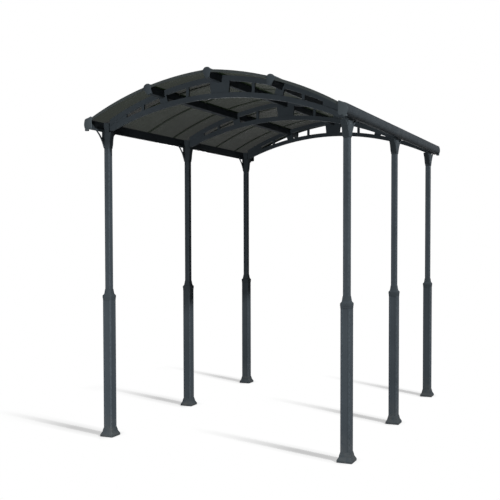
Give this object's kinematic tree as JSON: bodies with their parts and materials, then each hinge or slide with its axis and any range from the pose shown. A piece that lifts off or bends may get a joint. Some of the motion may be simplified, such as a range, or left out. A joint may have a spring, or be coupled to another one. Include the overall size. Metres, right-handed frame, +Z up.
{
  "type": "arched carport",
  "caption": "Tall open carport: square posts with sleeves and foot covers carry gutter beams, arched trusses, purlins and a curved roof of dark tinted sheets.",
  "frame": {"origin": "on the ground, in the middle between the posts, at the centre of the bounding box's bottom face", "axes": "+Z up, +Y along the gutters toward the back, +X toward the right-hand posts"},
  "size_m": [3.652, 5.02, 4.7945],
  "materials": {
    "frame_paint": "satin anthracite powder coat on aluminium",
    "cover_plastic": "matt anthracite moulded plastic",
    "roof_sheet": "smooth smoke-tinted plastic sheet",
    "joint_strip": "matt dark joint strip",
    "edge_trim": "satin anthracite powder coat"
  },
  "bodies": {
    "root": {"foot_cover_front_left": "cover_plastic", "sleeve_front_left": "frame_paint", "post_front_left": "frame_paint", "post_head_front_left": "cover_plastic", "foot_cover_front_right": "cover_plastic", "sleeve_front_right": "frame_paint", "post_front_right": "frame_paint", "post_head_front_right": "cover_plastic", "foot_cover_middle_left": "cover_plastic", "sleeve_middle_left": "frame_paint", "post_middle_left": "frame_paint", "post_head_middle_left": "cover_plastic", "foot_cover_middle_right": "cover_plastic", "sleeve_middle_right": "frame_paint", "post_middle_right": "frame_paint", "post_head_middle_right": "cover_plastic", "foot_cover_back_left": "cover_plastic", "sleeve_back_left": "frame_paint", "post_back_left": "frame_paint", "post_head_back_left": "cover_plastic", "foot_cover_back_right": "cover_plastic", "sleeve_back_right": "frame_paint", "post_back_right": "frame_paint", "post_head_back_right": "cover_plastic", "truss_front_lower_chord": "frame_paint", "truss_front_upper_chord": "frame_paint", "truss_front_webs": "frame_paint", "truss_middle_lower_chord": "frame_paint", "truss_middle_upper_chord": "frame_paint", "truss_middle_webs": "frame_paint", "truss_back_lower_chord": "frame_paint", "truss_back_upper_chord": "frame_paint", "truss_back_webs": "frame_paint", "purlin_left": "frame_paint", "purlin_ridge": "frame_paint", "purlin_right": "frame_paint", "gutter_left": "frame_paint", "roof_sheets_left": "roof_sheet", "gutter_right": "frame_paint", "roof_sheets_right": "roof_sheet", "sheet_joints": "joint_strip", "roof_trim_front": "edge_trim", "roof_trim_back": "edge_trim", "end_caps_front": "cover_plastic", "end_caps_back": "cover_plastic"}
  },
  "joints": []
}
